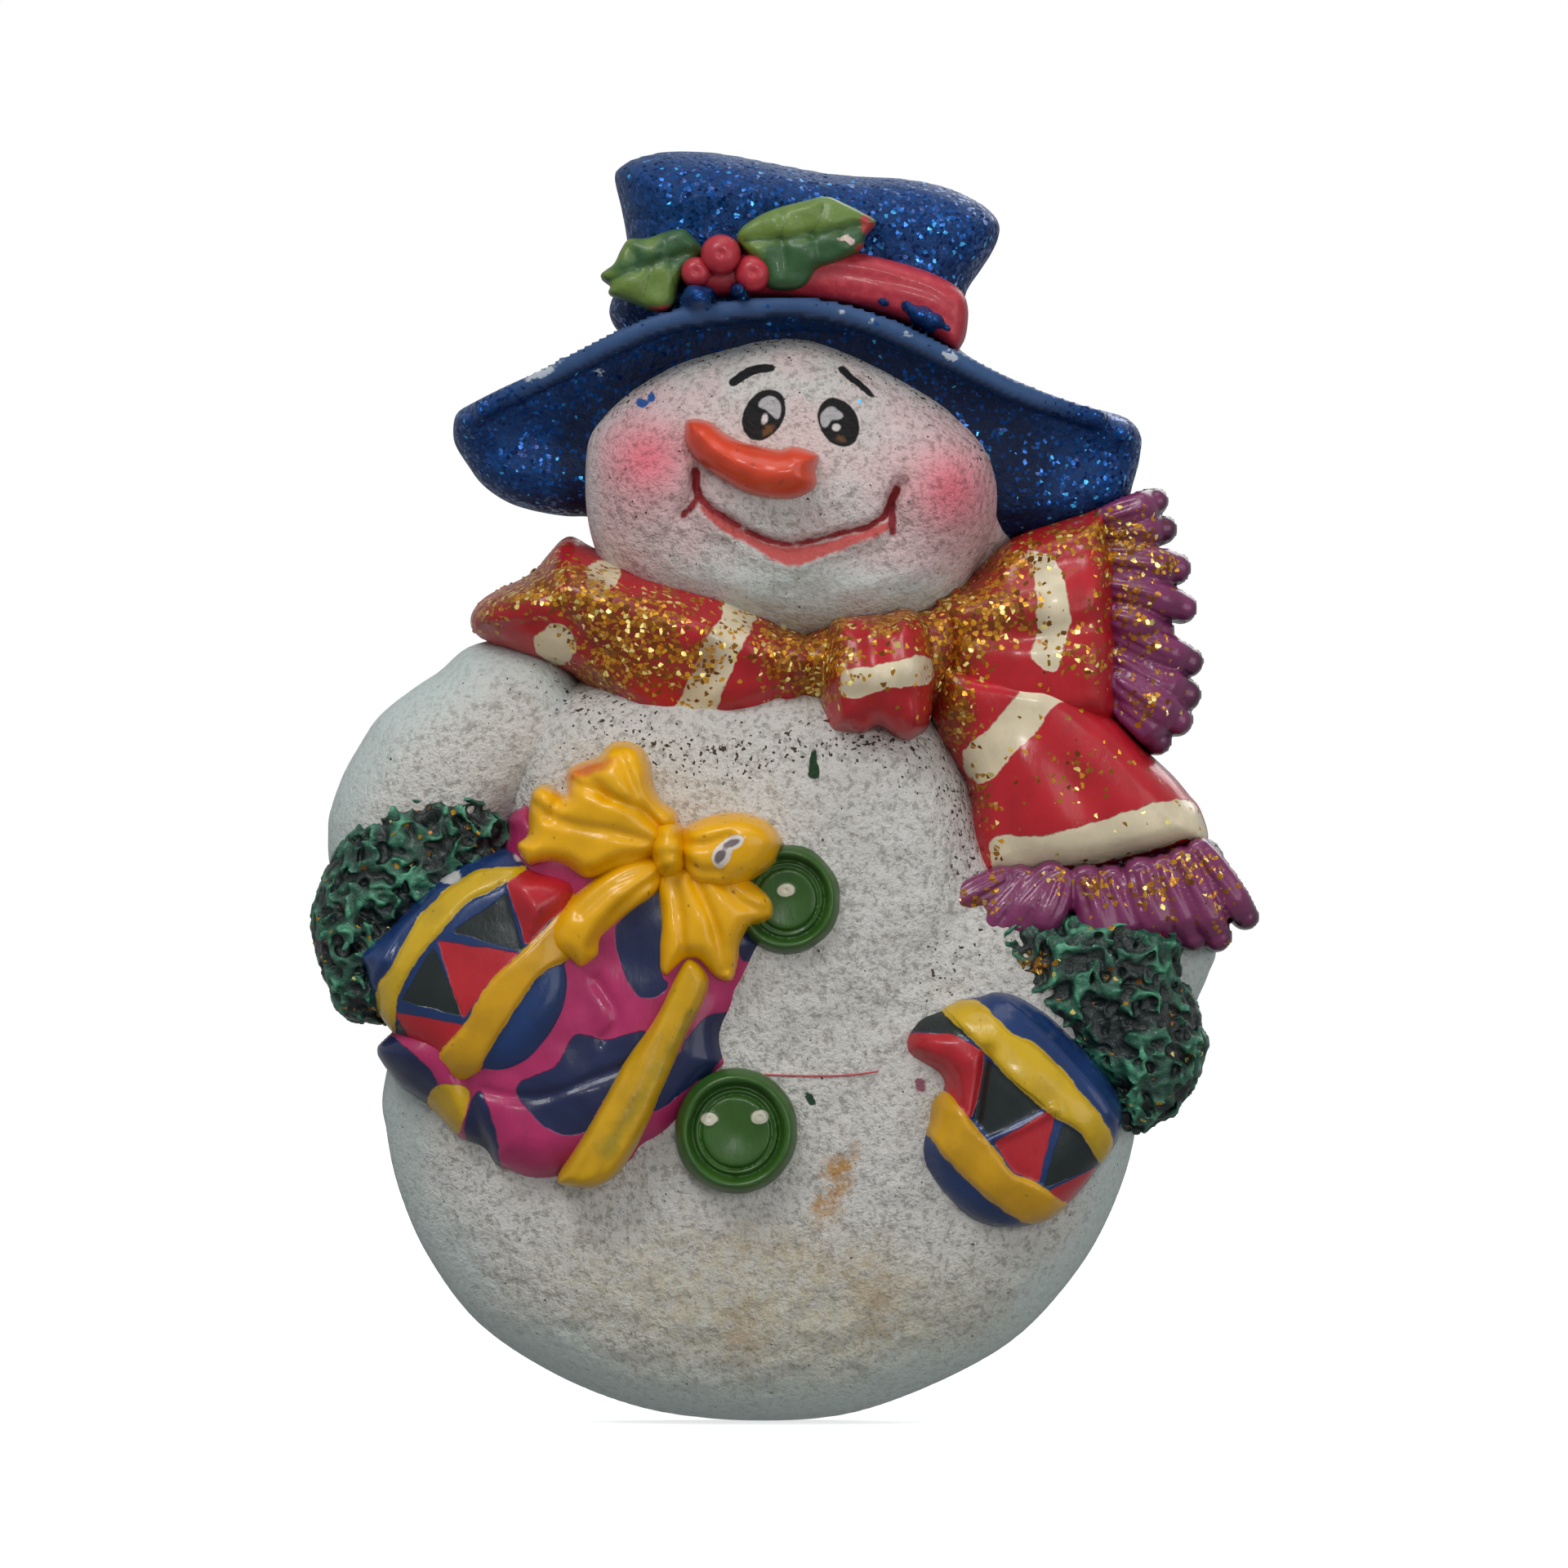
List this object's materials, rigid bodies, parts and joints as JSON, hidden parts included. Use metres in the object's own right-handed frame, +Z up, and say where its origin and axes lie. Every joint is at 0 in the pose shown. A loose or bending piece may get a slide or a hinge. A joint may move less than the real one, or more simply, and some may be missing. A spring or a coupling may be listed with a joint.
{
  "type": "snowman ornament",
  "caption": "Flat-backed painted resin snowman ornament with a tall hat, holly, scarf, gift and mittens, held by a round magnet in its back.",
  "frame": {"origin": "centre of the magnet's face, on the flat back plane", "axes": "+Z up along the snowman's height, +X to the viewer's right when the front is seen, -Y out of the front; the flat back faces +Y"},
  "size_m": [0.052, 0.0142, 0.0701],
  "materials": {
    "stucco_white": "matte",
    "face_white": "matte",
    "carrot_enamel": "gloss",
    "hat_glitter": "satin",
    "band_red": "satin",
    "holly_green": "satin",
    "scarf_enamel": "gloss",
    "fringe_purple": "gloss",
    "cuff_green": "satin",
    "mitten_enamel": "gloss",
    "gift_enamel": "gloss",
    "ribbon_yellow": "gloss",
    "button_green": "gloss",
    "ferrite": "matte"
  },
  "bodies": {
    "root": {"body": "stucco_white", "arm_left": "stucco_white", "arm_right": "stucco_white", "head": "face_white", "nose": "carrot_enamel", "hat_brim": "hat_glitter", "hat_crown": "hat_glitter", "hat_band": "band_red", "holly_leaf_left": "holly_green", "holly_leaf_right": "holly_green", "berry_upper": "band_red", "berry_left": "band_red", "berry_right": "band_red", "scarf_wrap": "scarf_enamel", "scarf_knot": "scarf_enamel", "scarf_tail_upper": "scarf_enamel", "scarf_tail_lower": "scarf_enamel", "fringe_upper": "fringe_purple", "fringe_lower": "fringe_purple", "cuff_left": "cuff_green", "cuff_right": "cuff_green", "mitten_left": "mitten_enamel", "mitten_right": "mitten_enamel", "gift_box": "gift_enamel", "gift_ribbon": "ribbon_yellow", "bow_loop_left": "ribbon_yellow", "bow_loop_right": "ribbon_yellow", "bow_knot": "ribbon_yellow", "bow_tail_left": "ribbon_yellow", "bow_tail_right": "ribbon_yellow", "button_upper": "button_green", "button_lower": "button_green", "magnet": "ferrite"}
  },
  "joints": []
}
